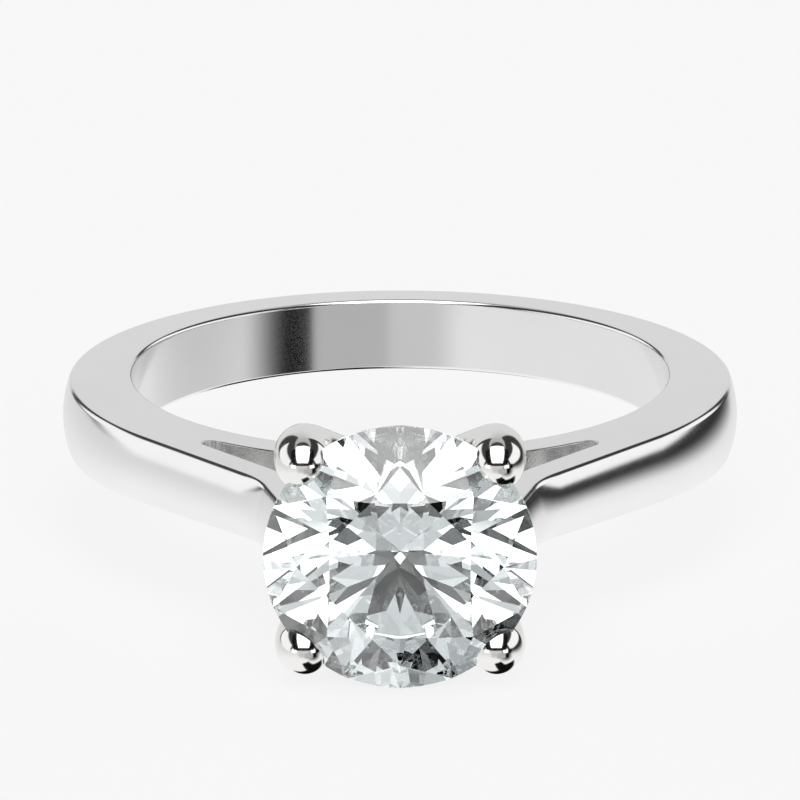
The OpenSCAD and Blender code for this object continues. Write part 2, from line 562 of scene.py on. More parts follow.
@dataclass(frozen=True)
class BandShape:
    """Sizes that the shank and both shoulders share, in millimetres and radians.

    Attributes:
        bore_r: Radius of the finger hole.
        rail_r: Outer radius of the finger rail, which runs on under the head.
        outer_r: Radius of the band's outer edge.
        swell: How far that edge's centre lies towards the head.
        half_width: Half the band's width at the back of the finger.
        taper: How fast the width closes in towards the head.
        taper_blend: Length over which the taper starts.
        crest: How far the domed outside rises over its edges.
        edge_round: Rounding of the dome's edges.
        bore_round: Rounding of the finger hole's edges.
        slit_round: Rounding of the edges in each slit.
        leave_angle: Where the shoulders leave the round band, from the head.
        shoulder_run: Length of a shoulder's straight part.
        sweep_r: Radius of a shoulder's sweep up to the head.
        sweep_angle: Angle of that sweep.
        end_run: Length of the straight part after the sweep.
        end_round: Rounding of a shoulder's end.
        shoulder_t: Thickness of a shoulder.
        slit_r: Radius of each slit's round end.
    """

    bore_r: float = 8.675
    rail_r: float = 9.745
    outer_r: float = 10.475
    swell: float = 0.55
    half_width: float = 1.225
    taper: float = math.tan(math.radians(1.03))
    taper_blend: float = 1.0
    crest: float = 0.38
    edge_round: float = 0.2
    bore_round: float = 0.13
    slit_round: float = 0.045
    leave_angle: float = math.radians(49)
    shoulder_run: float = 5.0
    sweep_r: float = 3.5
    sweep_angle: float = math.radians(25)
    end_run: float = 1.8
    end_round: float = 0.16
    shoulder_t: float = 0.84
    slit_r: float = 0.26

    @property
    def leave_out(self) -> np.ndarray:
        """Outward direction where the right shoulder leaves the round band."""
        return np.array([math.sin(self.leave_angle), -math.cos(self.leave_angle)])

    @property
    def leave_ahead(self) -> np.ndarray:
        """The way that the right shoulder runs where it leaves the round band."""
        return np.array([-math.cos(self.leave_angle), -math.sin(self.leave_angle)])

    @property
    def joint(self) -> np.ndarray:
        """Where the right shoulder's outer edge leaves the round band."""
        return self.outer_r * self.leave_out + np.array([0.0, -self.swell])

    def half(self, y: np.ndarray) -> np.ndarray:
        """Half the band's width where its middle line is at y."""
        return self.half_width - 0.5 * self.taper * (np.hypot(y, self.taper_blend) - y)

    def side_normal(self, y: np.ndarray) -> np.ndarray:
        """Normals of the upper side face at y."""
        slope = 0.5 * self.taper * (1.0 - y / np.hypot(y, self.taper_blend))
        return unit(np.stack([0 * y, -slope, 1 + 0 * y], -1))

    def depth_to(self, beta: np.ndarray, radius: float) -> np.ndarray:
        """Depth from the outer outline to a circle round the finger axis.

        Args:
            beta: Angles round the swell's centre, from the back of the finger.
            radius: The circle's radius.

        Returns:
            The depths, measured towards the swell's centre.
        """
        lean = self.swell * np.cos(beta)
        return self.outer_r - lean - np.sqrt(lean**2 - self.swell**2 + radius**2)


@dataclass(frozen=True)
class Outline:
    """A line round the band's outer edge, as seen along the finger."""

    shape: BandShape

    def at(self, s: np.ndarray) -> tuple[np.ndarray, np.ndarray]:
        """Points and outward directions on the round part.

        Args:
            s: Distances from the back of the finger along the outline.

        Returns:
            Points and unit outward directions, each as n x 2.
        """
        beta = s / self.shape.outer_r
        out = np.stack([np.sin(beta), np.cos(beta)], -1)
        return self.shape.outer_r * out + np.array([0.0, -self.shape.swell]), out


@dataclass(frozen=True)
class ShoulderOutline(Outline):
    """The right shoulder's outer edge: straight off the band, then a sweep up."""

    def at(self, s: np.ndarray) -> tuple[np.ndarray, np.ndarray]:
        """Points and outward directions.

        Args:
            s: Distances from the joint with the round band.

        Returns:
            Points and unit outward directions, each as n x 2.
        """
        b = self.shape
        turn = np.clip((s - b.shoulder_run) / b.sweep_r, 0.0, b.sweep_angle)
        angle = b.leave_angle + turn
        out = np.stack([np.sin(angle), -np.cos(angle)], -1)
        ahead = np.stack([-np.cos(angle), -np.sin(angle)], -1)
        centre = b.joint + b.shoulder_run * b.leave_ahead + b.sweep_r * b.leave_out
        before = np.minimum(s - b.shoulder_run, 0.0)
        beyond = np.maximum(s - b.shoulder_run - b.sweep_r * b.sweep_angle, 0.0)
        straight = (before + beyond)[:, None] * ahead
        return centre - b.sweep_r * out + straight, out


@dataclass
class Section:
    """A cross-section at each station, with its direction of travel.

    x runs outward from the outline and z along the finger; both are in
    millimetres, as stations x points.
    """

    x: np.ndarray
    z: np.ndarray
    tx: np.ndarray
    tz: np.ndarray

    @classmethod
    def arc(cls, cx: np.ndarray, cz: np.ndarray, r: np.ndarray, angles: np.ndarray) -> "Section":
        """A convex corner or dome, travelled clockwise.

        Args:
            cx: Centre x at each station.
            cz: Centre z at each station.
            r: Radius at each station.
            angles: Falling angles, as stations x points or the same at each station.

        Returns:
            The arc.
        """
        cx, cz, r = (np.asarray(v)[:, None] for v in (cx, cz, r))
        angles = angles + 0 * cx
        return cls(
            cx + r * np.cos(angles), cz + r * np.sin(angles), np.sin(angles), -np.cos(angles)
        )

    @classmethod
    def line(cls, start: tuple, end: tuple, shares: np.ndarray) -> "Section":
        """A straight stretch.

        Args:
            start: x and z at each station where it starts.
            end: x and z at each station where it ends.
            shares: Shares of the way along, the same at each station.

        Returns:
            The stretch.
        """
        (x0, z0), (x1, z1) = ([np.asarray(v)[:, None] for v in p] for p in (start, end))
        x, z = x0 + (x1 - x0) * shares, z0 + (z1 - z0) * shares
        size = np.maximum(np.hypot(x1 - x0, z1 - z0), 1e-9)
        return cls(x, z, (x1 - x0) / size + 0 * x, (z1 - z0) / size + 0 * z)

    def then(self, other: "Section") -> "Section":
        """This section with another after it."""
        pairs = ((self.x, other.x), (self.z, other.z), (self.tx, other.tx), (self.tz, other.tz))
        return Section(*(np.concatenate(p, 1) for p in pairs))

    def mirrored(self) -> "Section":
        """This section's mirror image in z, travelled the same way round."""
        return Section(
            self.x[:, ::-1], -self.z[:, ::-1], -self.tx[:, ::-1], self.tz[:, ::-1]
        )

    def both_halves(self) -> "Section":
        """This upper half, then its mirror image."""
        return self.then(self.mirrored())


@dataclass(frozen=True)
class Sweep:
    """Lays sections along an outline, closing in with the side faces.

    Attributes:
        shape: The band's sizes.
        outline: The line that sections are laid along.
    """

    shape: BandShape
    outline: Outline

    def lift(self, s: np.ndarray, x: np.ndarray, z: np.ndarray) -> np.ndarray:
        """Places section points in the ring's frame.

        Args:
            s: Stations along the outline.
            x: Outward distances, as stations x points.
            z: Distances along the finger, in the same shape.

        Returns:
            Points, as stations x points x 3.
        """
        at, out = self.outline.at(s)
        flat = at[:, None, :] + x[..., None] * out[:, None, :]
        share = self.shape.half(flat[..., 1]) / self.shape.half(at[:, 1])[:, None]
        return np.concatenate([flat, (z * share)[..., None]], -1)

    def surface(
        self, s: np.ndarray, section: Callable[[np.ndarray], Section]
    ) -> tuple[np.ndarray, np.ndarray]:
        """Points and normals of a swept surface.

        Args:
            s: Stations along the outline.
            section: Gives the Section at an array of stations.

        Returns:
            Points and normals, as stations x points x 3.
        """
        step = 1e-3
        part = section(s)
        points = self.lift(s, part.x, part.z)
        across = self.lift(s, part.x + step * part.tx, part.z + step * part.tz)
        across -= self.lift(s, part.x - step * part.tx, part.z - step * part.tz)
        after, before = section(s + step), section(s - step)
        along = self.lift(s + step, after.x, after.z) - self.lift(s - step, before.x, before.z)
        normals = unit(np.cross(across, along))
        _, out = self.outline.at(s)
        rough = np.concatenate(
            [-part.tz[..., None] * out[:, None, :], part.tx[..., None]], -1
        )
        sign = np.where((normals * rough).sum(-1) < 0, -1.0, 1.0)
        return points, normals * sign[..., None]


@dataclass
class Band:
    """The shank and its two cathedral shoulders.

    Attributes:
        shape: Shared sizes.
        stations: Stations round the outer band.
        rail_stations: Stations along the finger rail under the head.
        shoulder_stations: Stations along each shoulder, clear of the slit's end.
        edge_points: Points round the dome's edge.
        arch_points: Points from there to the crest.
        flat_points: Points across each flat face.
        bore_points: Points round each edge of the finger hole.
        slit_points: Points round each edge of a slit.
        bar_points: Points across half of a shoulder's inner wall.
        rail_edge_points: Points where a shoulder's inner edge follows the rail.
        tip_points: Points round the slit's end.
        line_points: Points along the shoulder's inner edge after it.
        tip_stations: Stations along a shoulder beside the slit's end.
        tip_fade: Angles round the slit's end over which its edge becomes rounded.
        rail_fade: Angle over which the rail's edge becomes rounded.
        end_pull: How far a shoulder's end face is drawn in, as a share of its rounding.
        slit_clear: How far past the slit's end a shoulder's section becomes whole.
    """

    shape: BandShape = field(default_factory=BandShape)
    stations: int = 361
    rail_stations: int = 181
    shoulder_stations: int = 61
    edge_points: int = 13
    arch_points: int = 27
    flat_points: int = 6
    bore_points: int = 11
    slit_points: int = 7
    bar_points: int = 5
    rail_edge_points: int = 31
    tip_points: int = 41
    line_points: int = 9
    tip_stations: int = 25
    tip_fade: tuple[float, float] = (0.9, 1.8)
    rail_fade: float = 0.03
    end_pull: float = 0.3
    slit_clear: float = 0.3

    def half_at(self, sweep: Sweep, s: np.ndarray) -> np.ndarray:
        """Half the band's width at each station of a sweep."""
        return self.shape.half(sweep.outline.at(s)[0][:, 1])

    def dome(self, h: np.ndarray) -> Section:
        """The rounded outside, from the flat side's edge to the crest.

        Args:
            h: Half the width at each station.

        Returns:
            The upper half of the dome.
        """
        b = self.shape
        r = b.edge_round
        big = (b.crest**2 + (h - r) ** 2 - r**2) / (2 * (b.crest - r))
        meet = np.arctan2(h - r, big - b.crest)
        share = np.linspace(0, 1, self.edge_points)
        corner = math.pi / 2 + (meet[:, None] - math.pi / 2) * share
        top = Section.arc(0 * h, h - r, r + 0 * h, corner)
        arch = meet[:, None] * (1 - np.linspace(0, 1, self.arch_points)[1:])
        return top.then(Section.arc(b.crest - big, 0 * h, big, arch))

    def shank(self) -> bpy.types.Mesh:
        """The round band and the finger rail that runs on under the head.

        Returns:
            The mesh.
        """
        b = self.shape
        sweep = Sweep(b, Outline(b))
        draft = Draft()
        joint = b.outer_r * (math.pi - b.leave_angle)
        round_s = np.linspace(-joint, joint, self.stations)
        rail_s = np.linspace(joint, 2 * math.pi * b.outer_r - joint, self.rail_stations)
        flat_share = np.linspace(0, 1, self.flat_points)

        def exposed(s: np.ndarray) -> np.ndarray:
            """Rounding of the rail's outer edge, where no shoulder sits on it."""
            beta = s / b.outer_r
            reach = b.outer_r - b.depth_to(beta, b.rail_r)
            x, y = reach * np.sin(beta), reach * np.cos(beta) - b.swell
            off = np.arctan2(np.abs(x), -y)
            start = -self.slit_angle()
            return b.slit_round * ease(-off, start, start + self.rail_fade)

        def inside(s: np.ndarray) -> Section:
            """Finger wall, its rounded edges, and the side faces up to the rail's edge."""
            h = self.half_at(sweep, s)
            t = b.depth_to(s / b.outer_r, b.bore_r)
            rail = b.depth_to(s / b.outer_r, b.rail_r) + exposed(s)
            r = b.bore_round
            wall = Section.line((-t, 0 * h), (-t, h - r), flat_share[:-1])
            turn = np.linspace(math.pi, math.pi / 2, self.bore_points)
            corner = Section.arc(-t + r, h - r, r + 0 * h, turn)
            flat = Section.line((-t + r, h), (-rail, h), flat_share[1:])
            upper = wall.then(corner).then(flat)
            lower = upper.mirrored()
            return lower.then(upper)

        def outside(s: np.ndarray) -> Section:
            """Side faces from the rail's radius outward, and the dome."""
            h = self.half_at(sweep, s)
            rail = b.depth_to(s / b.outer_r, b.rail_r)
            flat = Section.line((-rail, h), (0 * h, h), flat_share[:-1])
            return flat.then(self.dome(h)).both_halves()

        def rail_wall(s: np.ndarray) -> Section:
            """The finger rail's outer wall, with its edges rounded where exposed."""
            h = self.half_at(sweep, s)
            r = np.maximum(exposed(s), 0.0)
            x = -b.depth_to(s / b.outer_r, b.rail_r)
            turn = np.linspace(math.pi / 2, 0, self.slit_points)
            corner = Section.arc(x - r, h - r, r, turn)
            wall = Section.line((x, h - r), (x, 0 * h), flat_share[1:])
            return corner.then(wall).both_halves()

        whole = np.concatenate([round_s[:-1], rail_s[:-1]])
        draft.grid(*sweep.surface(whole, inside), loop=True)
        points, normals = sweep.surface(round_s, outside)
        draft.grid(points, normals)
        wall, wall_normals = sweep.surface(rail_s, rail_wall)
        draft.grid(wall, wall_normals)
        for row, edge, way in ((points[-1], wall[0], 1), (points[0], wall[-1], -1)):
            facing = np.array([way * b.leave_ahead[0], b.leave_ahead[1], 0.0])
            draft.region(np.concatenate([row, edge[::-1][1:-1]]), facing)
        return draft.mesh("shank_shape")

    def slit_tip(self) -> tuple[float, float]:
        """Distance along the shoulder, and depth, of the slit's round end's centre."""
        b = self.shape
        depth = b.shoulder_t + b.slit_r
        along, deep = -b.joint @ b.leave_ahead, b.joint @ b.leave_out
        run = math.sqrt((b.rail_r + b.slit_r) ** 2 - (deep - depth) ** 2)
        return along + run, depth

    def slit_angle(self) -> float:
        """Angle from the head at which the slit's round end is centred."""
        b = self.shape
        along, depth = self.slit_tip()
        x, y = b.joint + along * b.leave_ahead - depth * b.leave_out
        return math.atan2(abs(x), -y)

    def slit_edge(self, last: float) -> tuple[np.ndarray, np.ndarray, np.ndarray]:
        """The shoulder's inner edge: along the rail, round the slit's end, and on.

        Args:
            last: Distance along the shoulder at which it stops.

        Returns:
            Edge points and the directions out of the metal, each n x 2, and the
            rounding of the edge at each point.
        """
        b = self.shape
        ahead, out = b.leave_ahead, b.leave_out
        along, depth = self.slit_tip()
        tip = b.joint + along * ahead - depth * out
        tangent = self.slit_angle()
        beta = math.pi - b.leave_angle
        reach = b.outer_r - float(b.depth_to(np.array(beta), b.rail_r))
        x, y = reach * math.sin(beta), reach * math.cos(beta) - b.swell
        rail = np.linspace(math.atan2(x, -y), tangent, self.rail_edge_points)
        rail_out = np.stack([np.sin(rail), -np.cos(rail)], -1)
        inward = -tip / np.linalg.norm(tip)
        first = math.atan2(inward @ out, inward @ -ahead)
        turns = np.linspace(first, math.pi / 2, self.tip_points)[1:]
        spokes = np.cos(turns)[:, None] * -ahead + np.sin(turns)[:, None] * out
        rounding = b.slit_round * ease(turns - first, *self.tip_fade)
        runs = np.linspace(along, last, self.line_points)[1:]
        line = b.joint + runs[:, None] * ahead - b.shoulder_t * out
        points = np.concatenate([b.rail_r * rail_out, tip + b.slit_r * spokes, line])
        away = np.concatenate([-rail_out, -spokes, np.broadcast_to(-out, line.shape)])
        amounts = np.concatenate([0 * rail, rounding, np.full(len(runs), b.slit_round)])
        return points, away, amounts

    def shoulder(self, side: Side) -> bpy.types.Mesh:
        """One cathedral shoulder, from the round band to the gallery rail.

        Args:
            side: Which side of the head it is on.

        Returns:
            The mesh.
        """
        b = self.shape
        sweep = Sweep(b, ShoulderOutline(b))
        draft = Draft(mirror=side.value)
        split = self.slit_tip()[0] + self.slit_clear
        total = b.shoulder_run + b.sweep_r * b.sweep_angle + b.end_run
        first_s = np.linspace(0.0, split, self.tip_stations)
        flat_share = np.linspace(0, 1, self.flat_points)

        def dome(s: np.ndarray) -> Section:
            """The outside alone."""
            return self.dome(self.half_at(sweep, s)).both_halves()

        def bar(s: np.ndarray) -> Section:
            """The whole section once clear of the slit's end."""
            h = self.half_at(sweep, s)
            r = b.slit_round
            t = b.shoulder_t + 0 * h
            wall = Section.line((-t, 0 * h), (-t, h - r), np.linspace(0, 1, self.bar_points)[:-1])
            turn = np.linspace(math.pi, math.pi / 2, self.slit_points)
            corner = Section.arc(-t + r, h - r, r + 0 * h, turn)
            flat = Section.line((-t + r, h), (0 * h, h), flat_share[1:-1])
            return wall.then(corner).then(flat).then(self.dome(h)).both_halves()

        skin, skin_normals = sweep.surface(first_s, dome)
        draft.grid(skin, skin_normals)
        edge, away, amounts = self.slit_edge(split)
        half = b.half(edge[:, 1])
        turns = np.linspace(0, math.pi / 2, self.slit_points)
        inset, drop = np.sin(turns) - 1.0, 1.0 - np.cos(turns)
        flat = edge[:, None, :] + (amounts[:, None] * inset)[..., None] * away[:, None, :]
        corner = np.concatenate(
            [flat, (b.half(flat[..., 1]) - amounts[:, None] * drop)[..., None]], -1
        )
        corner_normals = np.concatenate(
            [np.sin(turns)[None, :, None] * away[:, None, :],
             np.broadcast_to(np.cos(turns)[None, :, None], (*flat.shape[:2], 1))], -1,
        )
        low = (half - amounts)[:, None] * np.linspace(1, -1, 2 * self.bar_points - 1)
        low[:, 0], low[:, -1] = corner[:, -1, 2], -corner[:, -1, 2]
        columns = low.shape[1]
        wall = np.concatenate([np.repeat(edge[:, None, :], columns, 1), low[..., None]], -1)
        wall_normals = np.concatenate(
            [np.repeat(away[:, None, :], columns, 1), np.zeros((*low.shape, 1))], -1
        )
        draft.grid(wall, wall_normals)
        flat_from = self.bar_points + self.slit_points - 2
        flat_to = flat_from + self.flat_points - 1
        for way in (1, -1):
            lift = np.array([1, 1, way])
            draft.grid(corner * lift, corner_normals * lift)
            top = skin[:, 0 if way == 1 else -1]
            section = bar(np.array([split]))
            cut = sweep.lift(np.array([split]), section.x, section.z)[0]
            cut = cut[flat_from:flat_to] if way == 1 else cut[-flat_to:-flat_from][::-1]
            rim = np.concatenate([top, cut[::-1][:-1], corner[::-1, 0] * lift])
            draft.region(rim, b.side_normal(rim[:, 1]) * lift)
        start_face = np.concatenate([skin[0], wall[0][::-1][:-1]])
        draft.region(start_face, np.append(-b.leave_ahead, 0.0))
        rest_s = np.linspace(split, total - b.end_round, self.shoulder_stations)
        points, normals = sweep.surface(rest_s, bar)
        loop_points = np.concatenate([points, points[:, :1]], 1)
        loop_normals = np.concatenate([normals, normals[:, :1]], 1)
        draft.grid(loop_points, loop_normals)
        ahead = unit(np.append(-sweep.outline.at(np.array([total]))[1][0, ::-1], 0.0))
        ahead = np.array([-abs(ahead[0]), -abs(ahead[1]), 0.0])
        last_points, last_normals = loop_points[-1], loop_normals[-1]
        rows, row_normals = [last_points], [last_normals]
        for turn in np.linspace(0, math.pi / 2, self.slit_points + 1)[1:]:
            shift = b.end_round * (math.sin(turn) * ahead)
            pull = self.end_pull * b.end_round * (1 - math.cos(turn))
            rows.append(last_points + shift - pull * last_normals)
            row_normals.append(math.cos(turn) * last_normals + math.sin(turn) * ahead)
        draft.grid(np.array(rows), np.array(row_normals))
        draft.region(rows[-1][:-1], ahead)
        return draft.mesh(f"{side.name.lower()}_shoulder_shape")

    def build(self, finish: bpy.types.Material) -> None:
        """Makes and places the shank and both shoulders.

        Args:
            finish: The band's metal.
        """
        place_piece("polished_shank", self.shank(), finish, Slot.BAND, "shank")
        for side in Side:
            label = f"{side.name.lower()}_shoulder"
            place_piece(f"polished_{label}", self.shoulder(side), finish, Slot.BAND, label)


# ------------------------------------------------------------------- the head


def geometry_tree(
    name: str, takes: dict[str, str]
) -> tuple[bpy.types.NodeTree, bpy.types.Node, bpy.types.Node]:
    """Starts a Geometry Nodes tree with a geometry in and out.

    Args:
        name: The tree's name.
        takes: Names and socket types of its other inputs.

    Returns:
        The tree, its input node and its output node.
    """
    tree = bpy.data.node_groups.new(name, "GeometryNodeTree")
    tree.interface.new_socket("Geometry", in_out="INPUT", socket_type="NodeSocketGeometry")
    for label, kind in takes.items():
        tree.interface.new_socket(label, in_out="INPUT", socket_type=kind)
    tree.interface.new_socket("Geometry", in_out="OUTPUT", socket_type="NodeSocketGeometry")
    return tree, add_node(tree, "NodeGroupInput"), add_node(tree, "NodeGroupOutput")


def chain(tree: bpy.types.NodeTree, source: bpy.types.NodeSocket, *nodes: bpy.types.Node) -> object:
    """Runs a geometry through nodes in turn.

    Args:
        tree: The tree that holds them.
        source: The geometry socket that comes first.
        *nodes: Nodes that each take and give one geometry.

    Returns:
        The last node's geometry socket.
    """
    for node in nodes:
        target = next(s for s in node.inputs if s.type == "GEOMETRY")
        tree.links.new(source, target)
        source = next(s for s in node.outputs if s.type == "GEOMETRY")
    return source


def run_tree(
    tree: bpy.types.NodeTree, start: bpy.types.Mesh, values: dict[str, object]
) -> bpy.types.Mesh:
    """Runs a tree on a mesh and keeps the result as a plain mesh.

    Args:
        tree: The Geometry Nodes tree.
        start: The mesh that goes in.
        values: The tree's inputs by name.

    Returns:
        The evaluated mesh.
    """
    holder = bpy.data.objects.new("maker", start)
    bpy.context.scene.collection.objects.link(holder)
    modifier = holder.modifiers.new("maker", "NODES")
    modifier.node_group = tree
    for item in tree.interface.items_tree:
        if item.item_type == "SOCKET" and item.in_out == "INPUT" and item.name in values:
            modifier[item.identifier] = values[item.name]
    graph = bpy.context.evaluated_depsgraph_get()
    made = bpy.data.meshes.new_from_object(holder.evaluated_get(graph), depsgraph=graph)
    holder.modifiers.remove(modifier)
    bpy.data.objects.remove(holder)
    return made


def ring_wire_tree() -> bpy.types.NodeTree:
    """A round wire bent into a ring across the head's axis.

    Returns:
        The tree.
    """
    tree, given, result = geometry_tree(
        "ring_wire",
        {"Ring Radius": "NodeSocketFloat", "Wire Radius": "NodeSocketFloat",
         "Height": "NodeSocketFloat", "Steps": "NodeSocketInt", "Sides": "NodeSocketInt",
         "Material": "NodeSocketMaterial"},
    )
    path = add_node(tree, "GeometryNodeCurvePrimitiveCircle", mode="RADIUS")
    wire(tree, given.outputs["Steps"], path.inputs["Resolution"])
    wire(tree, given.outputs["Ring Radius"], path.inputs["Radius"])
    profile = add_node(tree, "GeometryNodeCurvePrimitiveCircle", mode="RADIUS")
    wire(tree, given.outputs["Sides"], profile.inputs["Resolution"])
    wire(tree, given.outputs["Wire Radius"], profile.inputs["Radius"])
    tube = add_node(tree, "GeometryNodeCurveToMesh")
    wire(tree, path.outputs["Curve"], tube.inputs["Curve"])
    wire(tree, profile.outputs["Curve"], tube.inputs["Profile Curve"])
    drop = add_node(tree, "ShaderNodeCombineXYZ")
    wire(tree, maths(tree, "MULTIPLY", given.outputs["Height"], -1.0), drop.inputs["Y"])
    stand = add_node(tree, "GeometryNodeTransform")
    wire(tree, drop.outputs[0], stand.inputs["Translation"])
    stand.inputs["Rotation"].default_value = (math.pi / 2, 0.0, 0.0)
    dress = add_node(tree, "GeometryNodeSetMaterial")
    wire(tree, given.outputs["Material"], dress.inputs["Material"])
    last = chain(
        tree, tube.outputs["Mesh"], stand, add_node(tree, "GeometryNodeSetShadeSmooth"),
        add_node(tree, "GeometryNodeRealizeInstances"), dress,
    )
    wire(tree, last, result.inputs["Geometry"])
    return tree


def claw_tree() -> bpy.types.NodeTree:
    """A wire swept along a guide, cut for the stone and turned to its corner.

    Returns:
        The tree.
    """
    tree, given, result = geometry_tree(
        "claw_wire",
        {"Sides": "NodeSocketInt", "Seat": "NodeSocketObject", "Azimuth": "NodeSocketFloat",
         "Material": "NodeSocketMaterial"},
    )
    guide = add_node(tree, "GeometryNodeMeshToCurve")
    wire(tree, given.outputs["Geometry"], guide.inputs["Mesh"])
    thickness = add_node(tree, "GeometryNodeInputNamedAttribute", data_type="FLOAT")
    thickness.inputs["Name"].default_value = "wire_radius"
    profile = add_node(tree, "GeometryNodeCurvePrimitiveCircle", mode="RADIUS")
    wire(tree, given.outputs["Sides"], profile.inputs["Resolution"])
    profile.inputs["Radius"].default_value = 1.0
    tube = add_node(tree, "GeometryNodeCurveToMesh")
    wire(tree, guide.outputs["Curve"], tube.inputs["Curve"])
    wire(tree, profile.outputs["Curve"], tube.inputs["Profile Curve"])
    wire(tree, thickness.outputs["Attribute"], tube.inputs["Scale"])
    close = add_node(tree, "GeometryNodeMergeByDistance")
    close.inputs["Distance"].default_value = 1e-4 * MM
    swept = chain(tree, tube.outputs["Mesh"], close)
    cutter = add_node(tree, "GeometryNodeObjectInfo")
    wire(tree, given.outputs["Seat"], cutter.inputs["Object"])
    seat = add_node(tree, "GeometryNodeMeshBoolean", operation="DIFFERENCE", solver="EXACT")
    wire(tree, swept, seat.inputs["Mesh 1"])
    wire(tree, cutter.outputs["Geometry"], seat.inputs["Mesh 2"])
    turn = add_node(tree, "ShaderNodeCombineXYZ")
    wire(tree, maths(tree, "MULTIPLY", given.outputs["Azimuth"], -1.0), turn.inputs["Y"])
    stand = add_node(tree, "GeometryNodeTransform")
    wire(tree, turn.outputs[0], stand.inputs["Rotation"])
    dress = add_node(tree, "GeometryNodeSetMaterial")
    wire(tree, given.outputs["Material"], dress.inputs["Material"])
    last = chain(
        tree, seat.outputs["Mesh"], stand, add_node(tree, "GeometryNodeRealizeInstances"), dress
    )
    wire(tree, last, result.inputs["Geometry"])
    return tree


def lathe(profile: list[tuple[float, float]], steps: int, name: str) -> bpy.types.Mesh:
    """Turns a profile round the head's axis into a closed shape.

    Args:
        profile: Distance from the axis and height, from bottom to top; both
            ends are on the axis.
        steps: Steps round the axis.
        name: The mesh's name.

    Returns:
        The mesh, flat shaded.
    """
    bm = bmesh.new()
    rings = []
    for r, h in profile:
        around = 1 if r == 0 else steps
        ring = []
        for k in range(around):
            a = 2 * math.pi * k / steps
            ring.append(bm.verts.new((r * math.cos(a) * MM, -h * MM, r * math.sin(a) * MM)))
        rings.append(ring)
    for low, high in zip(rings, rings[1:]):
        for k in range(steps):
            quad = [low[k % len(low)], low[(k + 1) % len(low)],
                    high[(k + 1) % len(high)], high[k % len(high)]]
            bm.faces.new(list(dict.fromkeys(quad)))
    bmesh.ops.recalc_face_normals(bm, faces=bm.faces)
    mesh = bpy.data.meshes.new(name)
    bm.to_mesh(mesh)
    bm.free()
    return mesh


